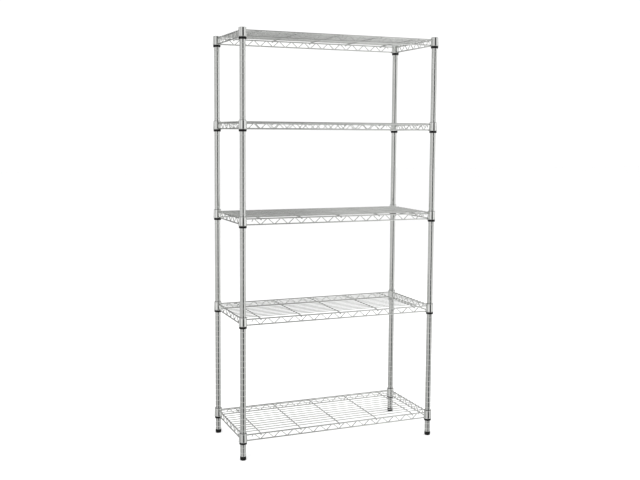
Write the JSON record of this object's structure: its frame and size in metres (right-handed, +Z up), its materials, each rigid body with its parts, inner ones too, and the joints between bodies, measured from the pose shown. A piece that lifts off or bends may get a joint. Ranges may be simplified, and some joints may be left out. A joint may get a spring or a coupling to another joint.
{
  "type": "wire shelving rack",
  "caption": "Freestanding wire shelving rack with open wire decks on grooved round posts; shelves lift off tapered collars and levelling feet screw out to stand it level.",
  "frame": {"origin": "on the floor at the middle of the four feet, with the feet screwed fully in", "axes": "+Z up along the posts, +X along the shelves' long side, -Y the front"},
  "size_m": [0.9446, 0.4244, 1.8468],
  "materials": {
    "chrome_tube": "bright chrome plating on a grooved tube",
    "chrome_collar": "bright chrome plating on pressed steel",
    "chrome_wire": "chrome plating over welded wire",
    "plated_steel": "dull zinc plating on threaded parts",
    "black_plastic": "moulded black plastic",
    "black_foot": "moulded black plastic foot"
  },
  "bodies": {
    "posts": {"post_lower_front_left": "chrome_tube", "post_lower_front_right": "chrome_tube", "post_lower_back_left": "chrome_tube", "post_lower_back_right": "chrome_tube", "post_upper_front_left": "chrome_tube", "post_upper_front_right": "chrome_tube", "post_upper_back_left": "chrome_tube", "post_upper_back_right": "chrome_tube", "post_joint_plugs": "plated_steel", "post_joint_studs": "plated_steel", "foot_inserts": "plated_steel", "post_cap_front_left": "black_plastic", "post_cap_front_right": "black_plastic", "post_cap_back_left": "black_plastic", "post_cap_back_right": "black_plastic", "sleeve_front_halves_1": "black_plastic", "sleeve_back_halves_1": "black_plastic", "sleeve_front_halves_2": "black_plastic", "sleeve_back_halves_2": "black_plastic", "sleeve_front_halves_3": "black_plastic", "sleeve_back_halves_3": "black_plastic", "sleeve_front_halves_4": "black_plastic", "sleeve_back_halves_4": "black_plastic", "sleeve_front_halves_5": "black_plastic", "sleeve_back_halves_5": "black_plastic"},
    "shelf_1": {"shelf_1_collars": "chrome_collar", "shelf_1_frame_rails": "chrome_wire", "shelf_1_truss_wires": "chrome_wire", "shelf_1_deck_wires": "chrome_wire", "shelf_1_cross_wires": "chrome_wire"},
    "shelf_2": {"shelf_2_collars": "chrome_collar", "shelf_2_frame_rails": "chrome_wire", "shelf_2_truss_wires": "chrome_wire", "shelf_2_deck_wires": "chrome_wire", "shelf_2_cross_wires": "chrome_wire"},
    "shelf_3": {"shelf_3_collars": "chrome_collar", "shelf_3_frame_rails": "chrome_wire", "shelf_3_truss_wires": "chrome_wire", "shelf_3_deck_wires": "chrome_wire", "shelf_3_cross_wires": "chrome_wire"},
    "shelf_4": {"shelf_4_collars": "chrome_collar", "shelf_4_frame_rails": "chrome_wire", "shelf_4_truss_wires": "chrome_wire", "shelf_4_deck_wires": "chrome_wire", "shelf_4_cross_wires": "chrome_wire"},
    "shelf_5": {"shelf_5_collars": "chrome_collar", "shelf_5_frame_rails": "chrome_wire", "shelf_5_truss_wires": "chrome_wire", "shelf_5_deck_wires": "chrome_wire", "shelf_5_cross_wires": "chrome_wire"},
    "foot_stem_front_left": {"foot_stem_front_left": "plated_steel"},
    "foot_pad_front_left": {"foot_pad_front_left": "black_foot"},
    "foot_stem_front_right": {"foot_stem_front_right": "plated_steel"},
    "foot_pad_front_right": {"foot_pad_front_right": "black_foot"},
    "foot_stem_back_left": {"foot_stem_back_left": "plated_steel"},
    "foot_pad_back_left": {"foot_pad_back_left": "black_foot"},
    "foot_stem_back_right": {"foot_stem_back_right": "plated_steel"},
    "foot_pad_back_right": {"foot_pad_back_right": "black_foot"}
  },
  "joints": [
    {"name": "shelf_1_lift", "type": "slide", "parent": "posts", "child": "shelf_1", "axis": [0, 0, 1], "range_m": [0, 0.4578]},
    {"name": "shelf_2_lift", "type": "slide", "parent": "posts", "child": "shelf_2", "axis": [0, 0, 1], "range_m": [0, 0.3816]},
    {"name": "shelf_3_lift", "type": "slide", "parent": "posts", "child": "shelf_3", "axis": [0, 0, 1], "range_m": [0, 0.3562]},
    {"name": "shelf_4_lift", "type": "slide", "parent": "posts", "child": "shelf_4", "axis": [0, 0, 1], "range_m": [0, 0.3308]},
    {"name": "shelf_5_lift", "type": "slide", "parent": "posts", "child": "shelf_5", "axis": [0, 0, 1], "range_m": [0, 0.1]},
    {"name": "foot_front_left_extend", "type": "slide", "parent": "posts", "child": "foot_stem_front_left", "axis": [0, 0, -1], "range_m": [0, 0.012]},
    {"name": "foot_front_left_turn", "type": "hinge", "parent": "foot_stem_front_left", "child": "foot_pad_front_left", "pos_m": [-0.454, -0.194, 0.008], "axis": [0, 0, -1], "range_deg": [0, 2880.1]},
    {"name": "foot_front_right_extend", "type": "slide", "parent": "posts", "child": "foot_stem_front_right", "axis": [0, 0, -1], "range_m": [0, 0.012]},
    {"name": "foot_front_right_turn", "type": "hinge", "parent": "foot_stem_front_right", "child": "foot_pad_front_right", "pos_m": [0.454, -0.194, 0.008], "axis": [0, 0, -1], "range_deg": [0, 2880.1]},
    {"name": "foot_back_left_extend", "type": "slide", "parent": "posts", "child": "foot_stem_back_left", "axis": [0, 0, -1], "range_m": [0, 0.012]},
    {"name": "foot_back_left_turn", "type": "hinge", "parent": "foot_stem_back_left", "child": "foot_pad_back_left", "pos_m": [-0.454, 0.194, 0.008], "axis": [0, 0, -1], "range_deg": [0, 2880.1]},
    {"name": "foot_back_right_extend", "type": "slide", "parent": "posts", "child": "foot_stem_back_right", "axis": [0, 0, -1], "range_m": [0, 0.012]},
    {"name": "foot_back_right_turn", "type": "hinge", "parent": "foot_stem_back_right", "child": "foot_pad_back_right", "pos_m": [0.454, 0.194, 0.008], "axis": [0, 0, -1], "range_deg": [0, 2880.1]}
  ],
  "couplings": [
    {"joint": "foot_front_left_turn", "follows": "foot_front_left_extend", "rad_per_m": 4188.8},
    {"joint": "foot_front_right_turn", "follows": "foot_front_right_extend", "rad_per_m": 4188.8},
    {"joint": "foot_back_left_turn", "follows": "foot_back_left_extend", "rad_per_m": 4188.8},
    {"joint": "foot_back_right_turn", "follows": "foot_back_right_extend", "rad_per_m": 4188.8}
  ]
}
